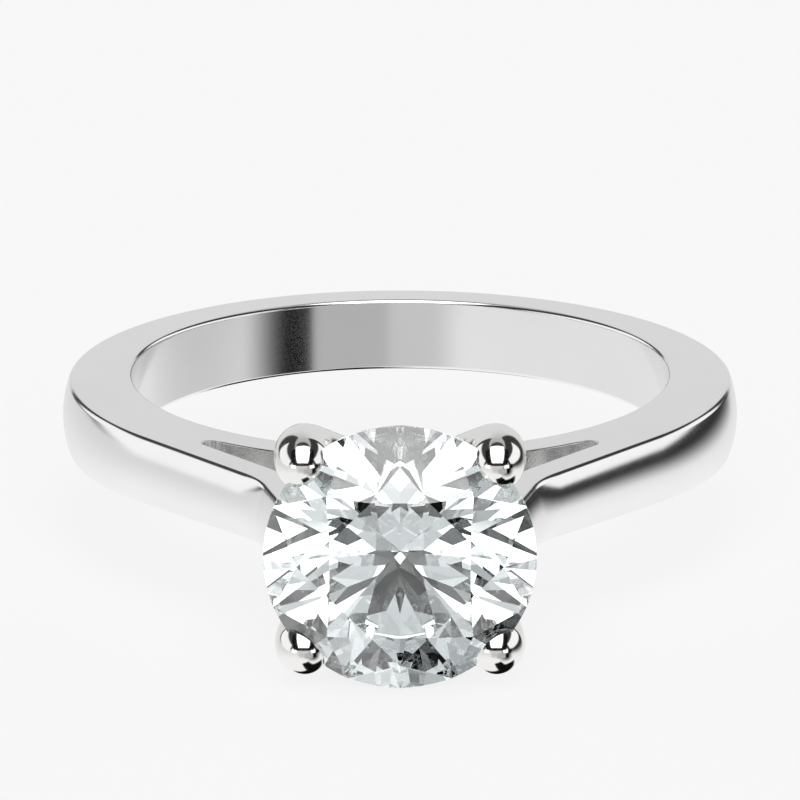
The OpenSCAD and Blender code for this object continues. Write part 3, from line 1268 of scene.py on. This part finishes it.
@dataclass
class Diamond:
    """A round brilliant, cut facet by facet.

    Attributes:
        diameter: Across the girdle, in millimetres.
        table_share: Table width as a share of the diameter.
        crown_angle: Slope of the crown's main facets, in degrees.
        pavilion_angle: Slope of the pavilion's main facets, in degrees.
        girdle_share: Girdle thickness as a share of the diameter.
        star_share: How far the star facets reach from table to girdle.
        lower_share: How far the lower halves reach from girdle to culet.
        blank_steps: Sides of the round blank that is cut.
        cut_snap: How near a cut a corner counts as on it.
        cut_weld: How near two corners are made one.
        upright: How far a face of the girdle may lean.
    """

    diameter: float = 8.0
    table_share: float = 0.555
    crown_angle: float = 34.2
    pavilion_angle: float = 40.9
    girdle_share: float = 0.023
    star_share: float = 0.5
    lower_share: float = 0.77
    blank_steps: int = 192
    cut_snap: float = 1e-7
    cut_weld: float = 1e-5
    upright: float = 0.02

    @property
    def radius(self) -> float:
        """Radius at the girdle."""
        return self.diameter / 2

    @property
    def girdle_half(self) -> float:
        """Half the girdle's thickness."""
        return self.diameter * self.girdle_share / 2

    @property
    def crown(self) -> float:
        """Height of the crown."""
        return self.radius * (1 - self.table_share) * math.tan(math.radians(self.crown_angle))

    @property
    def pavilion(self) -> float:
        """Depth of the pavilion."""
        return self.radius * math.tan(math.radians(self.pavilion_angle))

    def girdle_height(self) -> float:
        """Height of the girdle's middle above the finger axis."""
        top = -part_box("diamond")[0][1] / MM
        return top - self.crown - self.girdle_half

    def star_tip(self) -> tuple[float, float]:
        """Distance from the axis, and height above the girdle, of a star's tip."""
        c = math.cos(HALF_FACET)
        r = self.radius * (self.table_share * c * (1 - self.star_share) + self.star_share)
        return r, (self.radius - r * c) * math.tan(math.radians(self.crown_angle))

    def lower_tip(self) -> tuple[float, float]:
        """Distance from the axis, and depth below the girdle, of a lower half's tip."""
        r = self.radius * (1 - self.lower_share)
        fall = self.radius - r * math.cos(HALF_FACET)
        return r, -fall * math.tan(math.radians(self.pavilion_angle))

    def facet_planes(self) -> list[tuple[Vector, Vector]]:
        """A point and outward normal for each facet but the table.

        Returns:
            The planes, in the stone's own frame with the girdle's middle at 0.
        """
        planes = []
        star_r, star_h = self.star_tip()
        low_r, low_h = self.lower_tip()
        table_r = self.radius * self.table_share

        def spot(r: float, turn: float, h: float) -> Vector:
            """A point at a distance and angle from the axis."""
            return Vector((r * math.cos(turn), r * math.sin(turn), h))

        def through(a: Vector, b: Vector, c: Vector) -> tuple[Vector, Vector]:
            """The plane through three points, facing away from the axis."""
            n = (b - a).cross(c - a).normalized()
            return a, n if n.dot(a) > 0 else -n

        for k in range(8):
            main = (2 * k + 1) * HALF_FACET
            up, down = self.girdle_half, -self.girdle_half
            crown, pavilion = math.radians(self.crown_angle), math.radians(self.pavilion_angle)
            planes.append((spot(self.radius, main, up), spot(math.sin(crown), main, math.cos(crown))))
            planes.append(
                (spot(self.radius, main, down), spot(math.sin(pavilion), main, -math.cos(pavilion)))
            )
            top = self.crown + up
            planes.append(
                through(spot(star_r, main + HALF_FACET, star_h + up), spot(table_r, main, top),
                        spot(table_r, main + 2 * HALF_FACET, top))
            )
            for way in (-1, 1):
                turn = main + way * HALF_FACET
                planes.append(
                    through(spot(star_r, turn, star_h + up), spot(self.radius, turn, up),
                            spot(self.radius, main, up))
                )
                planes.append(
                    through(spot(low_r, turn, low_h + down), spot(self.radius, turn, down),
                            spot(self.radius, main, down))
                )
        return planes

    def mesh(self) -> bpy.types.Mesh:
        """Cuts the facets off a round blank.

        Returns:
            The mesh, with facets in material slot 0 and the girdle in slot 1.
        """
        bm = bmesh.new()
        bottom, top = -self.girdle_half - self.pavilion, self.girdle_half + self.crown
        turns = [2 * math.pi * k / self.blank_steps for k in range(self.blank_steps)]
        ends = [
            [bm.verts.new((self.radius * math.cos(a), self.radius * math.sin(a), h)) for a in turns]
            for h in (bottom, top)
        ]
        for k in range(self.blank_steps):
            nxt = (k + 1) % self.blank_steps
            bm.faces.new([ends[0][k], ends[0][nxt], ends[1][nxt], ends[1][k]])
        bm.faces.new(ends[0][::-1])
        bm.faces.new(ends[1])
        for point, normal in self.facet_planes():
            everything = bm.verts[:] + bm.edges[:] + bm.faces[:]
            cut = bmesh.ops.bisect_plane(
                bm, geom=everything, plane_co=point, plane_no=normal, dist=self.cut_snap, clear_outer=True
            )
            rim = [e for e in cut["geom_cut"] if isinstance(e, bmesh.types.BMEdge)]
            bmesh.ops.edgenet_fill(bm, edges=rim)
        bmesh.ops.remove_doubles(bm, verts=bm.verts, dist=self.cut_weld)
        bmesh.ops.recalc_face_normals(bm, faces=bm.faces)
        for face in bm.faces:
            face.material_index = 1 if abs(face.normal.z) < self.upright else 0
            face.smooth = False
        height = self.girdle_height()
        for v in bm.verts:
            x, y, z = v.co
            v.co = Vector((x, -(z + height), y)) * MM
        bmesh.ops.recalc_face_normals(bm, faces=bm.faces)
        mesh = bpy.data.meshes.new("brilliant_shape")
        bm.to_mesh(mesh)
        bm.free()
        return mesh

    def build(self, facets: bpy.types.Material, girdle: bpy.types.Material) -> None:
        """Makes and places the stone.

        Args:
            facets: Finish of the polished facets.
            girdle: Finish of the ground rim.
        """
        mesh = self.mesh()
        mesh.materials.append(facets)
        mesh.materials.append(girdle)
        place_piece("brilliant_stone", mesh, facets, Slot.STONE, "diamond")


@dataclass
class Claw:
    """One round claw: a ball over the stone's edge on a bent wire.

    Attributes:
        corner: Where it stands round the head.
        ball_r: Radius of the ball.
        bend_r: Radius of the wire round the bend.
        leg_r: Radius of the straight leg.
        reach: Distance of the ball from the stone's axis.
        drop: How far the ball's centre is below the girdle.
        turn_r: Radius that the wire's middle line is bent round.
        tuck: Angle that the wire has turned in by at the ball, in degrees.
        lean: Angle that the leg leans in by, in degrees.
        foot: Height of the leg's end.
        foot_round: Rounding of the leg's end.
        bend_points: Points along the bend.
        leg_points: Points along the leg.
        foot_points: Points round the leg's end.
        ball_points: Points from the ball's middle to its tip.
        leg_gaps: Room between the leg's own points and its foot, and its bend.
        foot_tip: How far the last point of the foot stands proud.
        thickening: Share of the bend over which the wire thickens to it.
        swelling: Share of the bend over which the wire becomes the ball.
        sides: Sides of the wire.
        seat_turn: Cosine of the angle past which a face is a cut one.
        seat_depth: How far inside the wire a corner is a cut one.
    """

    corner: Corner
    ball_r: float = 0.812
    bend_r: float = 0.822
    leg_r: float = 0.79
    reach: float = 4.0
    drop: float = 0.22
    turn_r: float = 2.4
    tuck: float = 14.0
    lean: float = 35.0
    foot: float = 10.7
    foot_round: float = 0.12
    bend_points: int = 61
    leg_points: int = 60
    foot_points: int = 7
    ball_points: int = 49
    leg_gaps: tuple[float, float] = (0.02, 0.06)
    foot_tip: float = 0.001
    thickening: tuple[float, float] = (0.0, 0.45)
    swelling: tuple[float, float] = (0.7, 1.0)
    sides: int = 96
    seat_turn: float = 0.93
    seat_depth: float = 0.02

    def centre(self, ball_h: float) -> np.ndarray:
        """Centre of the bend, as its distance from the axis and its height."""
        tuck = math.radians(self.tuck)
        return np.array(
            [self.reach - self.turn_r * math.cos(tuck), ball_h - self.turn_r * math.sin(tuck)]
        )

    def guide(self, ball_h: float) -> tuple[np.ndarray, np.ndarray]:
        """Middle line of the wire and its radius, from foot to tip.

        Args:
            ball_h: Height of the ball's centre.

        Returns:
            Distances from the axis with heights, as n x 2, and the radii.
        """
        lean, tuck = math.radians(self.lean), math.radians(self.tuck)
        arc = np.linspace(-lean, tuck, self.bend_points)
        bend = self.centre(ball_h) + self.turn_r * np.stack([np.cos(arc), np.sin(arc)], -1)
        leg_top = bend[0]
        down = np.array([-math.sin(lean), -math.cos(lean)])
        leg_len = (leg_top[1] - self.foot) / math.cos(lean)
        quarter = np.linspace(0.0, math.pi / 2, self.foot_points)
        near = leg_len - self.foot_round * (1 - np.sin(quarter[1:]))
        low_gap, high_gap = self.leg_gaps
        straight = np.linspace(leg_len - self.foot_round - low_gap, high_gap, self.leg_points)
        spots = np.concatenate([[leg_len + self.foot_tip], near[::-1], straight])
        leg = leg_top + spots[:, None] * down
        leg_radii = np.concatenate([
            [0.0], self.leg_r - self.foot_round * (1 - np.cos(quarter[1:][::-1])),
            np.full(self.leg_points, self.leg_r),
        ])
        share = np.linspace(0.0, 1.0, len(arc))
        bend_radii = self.leg_r + (self.bend_r - self.leg_r) * ease(share, *self.thickening)
        bend_radii += (self.ball_r - self.bend_r) * ease(share, *self.swelling)
        cap = np.linspace(0.0, math.pi / 2, self.ball_points)[1:]
        onward = np.array([-math.sin(tuck), math.cos(tuck)])
        tip = bend[-1] + self.ball_r * np.sin(cap)[:, None] * onward
        tip_radii = self.ball_r * np.cos(cap)
        tip_radii[-1] = 0.0
        line = np.concatenate([leg, bend, tip])
        return line, np.concatenate([leg_radii, bend_radii, tip_radii])

    def round_normals(self, mesh: bpy.types.Mesh, ball_h: float) -> None:
        """Gives the wire's own surface true round normals, and cuts flat ones.

        Args:
            mesh: The finished claw.
            ball_h: Height of the ball's centre.
        """
        turn = math.radians(self.corner.value)
        radial = np.array([math.cos(turn), 0.0, math.sin(turn)])
        aside = np.array([-math.sin(turn), 0.0, math.cos(turn)])
        co = np.empty(len(mesh.vertices) * 3)
        mesh.vertices.foreach_get("co", co)
        co = co.reshape(-1, 3) / MM
        rho, height, wide = co @ radial, -co[:, 1], co @ aside
        lean, tuck = math.radians(self.lean), math.radians(self.tuck)
        middle = self.centre(ball_h)
        angle = np.clip(np.arctan2(height - middle[1], rho - middle[0]), -lean, tuck)
        near = middle + self.turn_r * np.stack([np.cos(angle), np.sin(angle)], -1)
        leg_top = middle + self.turn_r * np.array([math.cos(lean), -math.sin(lean)])
        down = np.array([-math.sin(lean), -math.cos(lean)])
        along = np.maximum((np.stack([rho, height], -1) - leg_top) @ down, 0.0)
        near = np.where((along > 0)[:, None], leg_top + along[:, None] * down, near)
        off_r, off_h = rho - near[:, 0], height - near[:, 1]
        size = np.sqrt(off_r**2 + off_h**2 + wide**2)
        true = unit(off_r[:, None] * radial + off_h[:, None] * np.array([0.0, -1.0, 0.0])
                    + wide[:, None] * aside)
        loops = np.empty(len(mesh.loops), dtype=np.int64)
        mesh.loops.foreach_get("vertex_index", loops)
        face_of = np.repeat(np.arange(len(mesh.polygons)),
                            [p.loop_total for p in mesh.polygons])
        flat = np.array([p.normal[:] for p in mesh.polygons])[face_of]
        wanted = true[loops]
        facing = (wanted * flat).sum(1) > self.seat_turn
        round_part = facing & (size[loops] > self.leg_r - self.seat_depth)
        normals = np.where(round_part[:, None], wanted, flat)
        mesh.polygons.foreach_set("use_smooth", [True] * len(mesh.polygons))
        mesh.normals_split_custom_set(normals.tolist())

    def build(
        self, tree: bpy.types.NodeTree, seat: bpy.types.Object, girdle: float,
        finish: bpy.types.Material,
    ) -> None:
        """Makes and places the claw.

        Args:
            tree: The claw_wire tree.
            seat: The shape that cuts the stone's seat.
            girdle: Height of the stone's girdle.
            finish: The head's metal.
        """
        ball_h = girdle - self.drop
        line, radii = self.guide(ball_h)
        start = bpy.data.meshes.new("claw_guide")
        points = [(r * MM, -h * MM, 0.0) for r, h in line]
        start.from_pydata(points, [(k, k + 1) for k in range(len(points) - 1)], [])
        start.attributes.new("wire_radius", "FLOAT", "POINT").data.foreach_set(
            "value", radii * MM
        )
        mesh = run_tree(
            tree, start,
            {"Sides": self.sides, "Seat": seat, "Azimuth": math.radians(self.corner.value),
             "Material": finish},
        )
        self.round_normals(mesh, ball_h)
        label = f"claw_{self.corner.name.lower()}"
        place_piece(f"polished_{label}", mesh, finish, Slot.HEAD, label)


@dataclass
class Head:
    """The basket that holds the stone.

    Attributes:
        gallery_height: Height of the gallery rail above the finger axis.
        gallery_r: Radius of the gallery rail, to the middle of its wire.
        lower_height: Height of the lower rail.
        lower_r: Radius of the lower rail.
        wire_r: Radius of both rails' wire.
        base_bottom: Height of the base's lower end, inside the finger rail.
        base_top: Height of the base's upper end.
        base_bottom_r: Radius of the base at its lower end.
        base_top_r: Radius of the base at its upper end.
        base_round: Rounding of the base's upper edge.
        dish: Depth of the hollow in the base's upper face.
        side_points: Points up the base's side.
        edge_points: Points round its upper edge.
        seat_play: Room round the stone in its seat.
        rail_steps: Steps round each rail, and sides of its wire.
        turned_steps: Steps round the base and round the seat.
    """

    gallery_height: float = 14.2
    gallery_r: float = 2.95
    lower_height: float = 12.3
    lower_r: float = 1.55
    wire_r: float = 0.38
    base_bottom: float = 9.4
    base_top: float = 11.4
    base_bottom_r: float = 1.05
    base_top_r: float = 1.7
    base_round: float = 0.22
    dish: float = 0.25
    side_points: int = 9
    edge_points: int = 13
    seat_play: float = 0.01
    rail_steps: tuple[int, int] = (160, 40)
    turned_steps: tuple[int, int] = (96, 256)

    def seat(self, stone: Diamond) -> bpy.types.Object:
        """The shape that the setter cuts out of the claws.

        Args:
            stone: The stone that they hold.

        Returns:
            An object that is removed once the claws are made.
        """
        r = stone.radius + self.seat_play
        middle, half = stone.girdle_height(), stone.girdle_half
        star_r, star_h = stone.star_tip()
        low_r, low_h = stone.lower_tip()
        rise = star_h / (stone.radius - star_r)
        fall = -low_h / (stone.radius - low_r)
        profile = [(0.0, middle - half - r * fall), (r, middle - half),
                   (r, middle + half), (0.0, middle + half + r * rise)]
        cutter = bpy.data.objects.new("seat", lathe(profile, self.turned_steps[1], "seat_shape"))
        bpy.context.scene.collection.objects.link(cutter)
        return cutter

    def base(self) -> bpy.types.Mesh:
        """The cone under the claws, with its upper edge rounded.

        Returns:
            The mesh.
        """
        slope = (self.base_top_r - self.base_bottom_r) / (self.base_top - self.base_bottom)
        round_r = self.base_round
        lean = math.atan(slope)
        turns = np.linspace(-lean, math.pi / 2, self.edge_points)
        top_r = self.base_top_r - round_r * (1 + math.tan(lean))
        side = [(self.base_bottom_r + slope * (h - self.base_bottom), h)
                for h in np.linspace(self.base_bottom, self.base_top - 1.2 * round_r, self.side_points)]
        edge = [(top_r + round_r * math.cos(t), self.base_top - round_r + round_r * math.sin(t))
                for t in turns]
        hollow = [(top_r * s, self.base_top - self.dish * (1 - s * s)) for s in (0.75, 0.5, 0.25)]
        profile = [(0.0, self.base_bottom), *side, *edge, *hollow, (0.0, self.base_top - self.dish)]
        mesh = lathe(profile, self.turned_steps[0], "head_base_shape")
        mesh.shade_smooth()
        mesh.set_sharp_from_angle(angle=math.radians(40))
        return mesh

    def build(self, stone: Diamond, finish: bpy.types.Material) -> None:
        """Makes and places the base, the rails and the four claws.

        Args:
            stone: The stone that the claws hold.
            finish: The head's metal.
        """
        place_piece("polished_head_base", self.base(), finish, Slot.HEAD, "head_base")
        rings = ring_wire_tree()
        steps, sides = self.rail_steps
        for label, height, ring_r in (
            ("gallery_rail", self.gallery_height, self.gallery_r),
            ("lower_rail", self.lower_height, self.lower_r),
        ):
            start = bpy.data.meshes.new("rail_start")
            made = run_tree(
                rings, start,
                {"Ring Radius": ring_r * MM, "Wire Radius": self.wire_r * MM,
                 "Height": height * MM, "Steps": steps, "Sides": sides, "Material": finish},
            )
            place_piece(f"polished_{label}", made, finish, Slot.HEAD, label)
        claws = claw_tree()
        seat = self.seat(stone)
        for corner in Corner:
            Claw(corner).build(claws, seat, stone.girdle_height(), finish)
        bpy.data.objects.remove(seat)
        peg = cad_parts["head_peg"]
        peg.data.materials.clear()
        peg.data.materials.append(finish)
        log.info("head_peg: kept from the packed part")


# ----------------------------------------------------------------- the studio


@dataclass(frozen=True)
class Panel:
    """A flat soft box, or a dark flag, far off in the studio and facing the ring.

    Azimuth is 0 in front of the stone and grows to the right; elevation is above
    the horizon. All angles are in degrees.

    Attributes:
        azimuth: Direction of its middle.
        elevation: Height of its middle.
        wide: Half the angle that it spans across.
        tall: Half the angle that it spans upward.
        soft: Width of its soft edge.
        level: Brightness.
        roll: How far it is turned in its own plane.
    """

    azimuth: float
    elevation: float
    wide: float
    tall: float
    soft: float
    level: float
    roll: float = 0.0

    def axes(self) -> dict[str, tuple[float, float, float]]:
        """Directions of its middle, of its width and of its height."""
        a, e = math.radians(self.azimuth), math.radians(self.elevation)
        facing = Vector((math.sin(a) * math.cos(e), -math.cos(a) * math.cos(e), math.sin(e)))
        turn = Quaternion(facing, math.radians(self.roll))
        across = turn @ Vector((math.cos(a), math.sin(a), 0.0))
        return {
            "Facing": facing[:], "Across": across[:], "Upward": facing.cross(across)[:]
        }

    def spans(self) -> dict[str, float]:
        """Its half width, half height and soft edge, at a distance of one."""
        return {
            "Wide": math.tan(math.radians(self.wide)),
            "Tall": math.tan(math.radians(self.tall)),
            "Soft": math.tan(math.radians(self.soft)),
        }


@dataclass
class Studio:
    """Camera, pale floor and soft light round the ring.

    Attributes:
        camera_at: Where the camera stands, in millimetres.
        pitch: How far it looks down, in degrees.
        lens: Focal length on a 36 mm sensor.
        floor_size: Half the floor's width, in millimetres.
        tent: Brightness of the tent below, around, above and overhead.
        floor_light: The floor's paint and its own glow.
        below_to_around: Heights between which the tent shades to its middle level.
        around_to_above: Heights between which it shades to its upper level.
        above_to_overhead: Heights between which it shades to its top level.
        panels: Panels in the order that they are laid over each other.
    """

    camera_at: tuple[float, float, float] = (0.0, -155.8, 44.26)
    pitch: float = 15.81
    lens: float = 225.0
    floor_size: float = 4000.0
    tent: tuple[float, float, float, float] = (0.97, 0.74, 0.48, 0.05)
    floor_light: tuple[float, float] = (0.12, 0.84)
    below_to_around: tuple[float, float] = (-0.6, 0.0)
    around_to_above: tuple[float, float] = (0.31, 0.75)
    above_to_overhead: tuple[float, float] = (0.91, 0.95)
    panels: tuple[Panel, ...] = ()

    def camera(self) -> None:
        """Makes the camera."""
        data = bpy.data.cameras.new("camera")
        data.lens, data.sensor_width = self.lens, 36.0
        data.clip_start, data.clip_end = 0.01, 20.0
        stand = bpy.data.objects.new("camera", data)
        stand.location = Vector(self.camera_at) * MM
        stand.rotation_euler = (math.radians(90 - self.pitch), 0.0, 0.0)
        bpy.context.scene.collection.objects.link(stand)
        bpy.context.scene.camera = stand

    def floor(self) -> None:
        """Makes the pale floor, which the camera sees all round the ring."""
        low = CAD_BOX[0][2] - 0.001 * MM
        r = self.floor_size * MM
        mesh = bpy.data.meshes.new("floor")
        mesh.from_pydata(
            [(-r, -r, low), (r, -r, low), (r, r, low), (-r, r, low)], [], [(0, 1, 2, 3)]
        )
        paint, glow = self.floor_light
        material, _ = start_material(
            "pale_floor", Base_Color=(paint, paint, paint, 1.0), Roughness=1.0,
            Specular_IOR_Level=0.0, Emission_Color=(1.0, 1.0, 1.0, 1.0), Emission_Strength=glow,
        )
        mesh.materials.append(material)
        plane = bpy.data.objects.new("floor", mesh)
        plane.visible_glossy = False
        plane.visible_transmission = False
        bpy.context.scene.collection.objects.link(plane)

    def panel_group(self) -> bpy.types.NodeTree:
        """Builds the group that lays one panel over the light so far.

        Returns:
            The group.
        """
        takes = {n: "NodeSocketVector" for n in ("Direction", "Facing", "Across", "Upward")}
        takes |= {n: "NodeSocketFloat" for n in ("Under", "Wide", "Tall", "Soft", "Level")}
        tree, given, result = shader_group("light_panel", takes, {"Light": "NodeSocketFloat"})
        get = given.outputs

        def along(axis: str) -> bpy.types.NodeSocket:
            """How far the direction goes along one of the panel's axes."""
            dot = add_node(tree, "ShaderNodeVectorMath", operation="DOT_PRODUCT")
            wire(tree, get["Direction"], dot.inputs[0])
            wire(tree, get[axis], dot.inputs[1])
            return dot.outputs["Value"]

        ahead = maths(tree, "MAXIMUM", along("Facing"), 1e-4)
        half = maths(tree, "MULTIPLY", get["Soft"], 0.5)
        masks = []
        for axis, size in (("Across", get["Wide"]), ("Upward", get["Tall"])):
            away = maths(tree, "DIVIDE", maths(tree, "ABSOLUTE", along(axis)), ahead)
            inner, outer = maths(tree, "SUBTRACT", size, half), maths(tree, "ADD", size, half)
            masks.append(remap(tree, away, (inner, outer), (1.0, 0.0), smooth=True))
        mask = maths(tree, "MULTIPLY", *masks)
        change = maths(tree, "SUBTRACT", get["Level"], get["Under"])
        wire(tree, maths(tree, "MULTIPLY_ADD", change, mask, get["Under"]), result.inputs[0])
        return tree

    def light(self) -> None:
        """Makes the studio's light: a tent that shades with height, and its panels."""
        world = bpy.data.worlds.new("studio")
        bpy.context.scene.world = world
        world.use_nodes = True
        tree = world.node_tree
        tree.nodes.clear()
        way = add_node(tree, "ShaderNodeTexCoord").outputs["Generated"]
        split = add_node(tree, "ShaderNodeSeparateXYZ")
        wire(tree, way, split.inputs[0])
        height = split.outputs[2]
        low, middle, high, top = self.tent
        level: object = remap(tree, height, self.below_to_around, (low, middle), smooth=True)
        for span, change in (
            (self.around_to_above, high - middle), (self.above_to_overhead, top - high)
        ):
            drop = remap(tree, height, span, (0.0, change), smooth=True)
            level = maths(tree, "ADD", level, drop)
        group = self.panel_group()
        for p in self.panels:
            level = use_group(
                tree, group, Direction=way, Under=level, Level=p.level, **p.axes(), **p.spans()
            ).outputs["Light"]
        glow = add_node(tree, "ShaderNodeBackground")
        glow.inputs["Color"].default_value = (1.0, 1.0, 1.0, 1.0)
        wire(tree, level, glow.inputs["Strength"])
        output = add_node(tree, "ShaderNodeOutputWorld")
        wire(tree, glow.outputs[0], output.inputs[0])

    def build(self) -> None:
        """Makes the camera, floor and light, and sets how light is carried."""
        self.camera()
        self.floor()
        self.light()
        scene = bpy.context.scene
        scene.view_settings.view_transform = "Standard"
        scene.cycles.max_bounces = 24
        scene.cycles.transmission_bounces = 24
        scene.cycles.glossy_bounces = 16
        log.info("studio: %d panels", len(self.panels))


STUDIO_PANELS = (
    # Dark strip low on the right, which shades the right shoulder.
    Panel(azimuth=100, elevation=0, wide=52, tall=12, soft=20, level=0.03),
    # Dark surrounds of the two side windows.
    Panel(azimuth=-100, elevation=33, wide=54, tall=31, soft=5, level=0.05),
    Panel(azimuth=100, elevation=33, wide=54, tall=31, soft=5, level=0.04),
    # Soft grey below the stone.
    Panel(azimuth=10, elevation=-16, wide=30, tall=12, soft=20, level=0.6),
    # Front window in its dark surround.
    Panel(azimuth=0, elevation=42, wide=48, tall=40, soft=4, level=0.005),
    Panel(azimuth=0, elevation=52.5, wide=26.5, tall=37.5, soft=1.5, level=2.2),
    # Two side windows.
    Panel(azimuth=-98, elevation=17, wide=42, tall=17, soft=7, level=1.0, roll=-12),
    Panel(azimuth=98, elevation=21, wide=42, tall=15.5, soft=5, level=1.02, roll=6),
    # Dark gap and its soft shade, low on the front right.
    Panel(azimuth=57, elevation=-4, wide=9, tall=8, soft=4, level=0.005),
    Panel(azimuth=44, elevation=-19, wide=19, tall=20, soft=26, level=0.0),
    # Grey card under the front window.
    Panel(azimuth=22, elevation=-21, wide=16.5, tall=11, soft=1, level=0.48),
    # Two small lamps beside it.
    Panel(azimuth=39, elevation=-3, wide=10, tall=6, soft=2, level=1.6),
    Panel(azimuth=-39, elevation=-3, wide=10, tall=6, soft=2, level=1.6),
    # Dark flags under the table.
    Panel(azimuth=75, elevation=-72, wide=35, tall=14, soft=3, level=0.005),
    Panel(azimuth=135, elevation=-64, wide=34, tall=18, soft=8, level=0.005),
)


# ----------------------------------------------------------------------- main


def write_sizes() -> None:
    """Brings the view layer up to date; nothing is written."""
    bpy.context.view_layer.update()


def main() -> None:
    """Builds the ring and the studio round it."""
    logging.basicConfig(level=logging.INFO, format="%(message)s")
    wear = polish_group()
    band_metal = PolishedGold(
        "polished_band_metal", (0.9, 0.9, 0.9), 0.12, 0.16, 0.0002, (60.0, 9000.0, 9000.0)
    ).build(wear)
    head_metal = PolishedGold(
        "polished_head_metal", (0.9, 0.893, 0.875), 0.09, 0.13, 0.0002, (200.0, 3000.0, 3000.0)
    ).build(wear)
    facets = DiamondFinish(
        "brilliant_facets", (0.9, 0.965, 0.98), grain=900.0, marked=(0.62, 0.8), rough=(0.0, 0.004)
    ).build()
    girdle = DiamondFinish(
        "ground_girdle", (0.97, 0.975, 0.98), grain=14000.0, marked=(0.3, 0.7),
        rough=(0.175, 0.325), bump=0.004,
    ).build()
    Studio(panels=STUDIO_PANELS).build()
    Band().build(band_metal)
    stone = Diamond()
    Head().build(stone, head_metal)
    stone.build(facets, girdle)
    write_sizes()


if __name__ == "__main__":
    main()
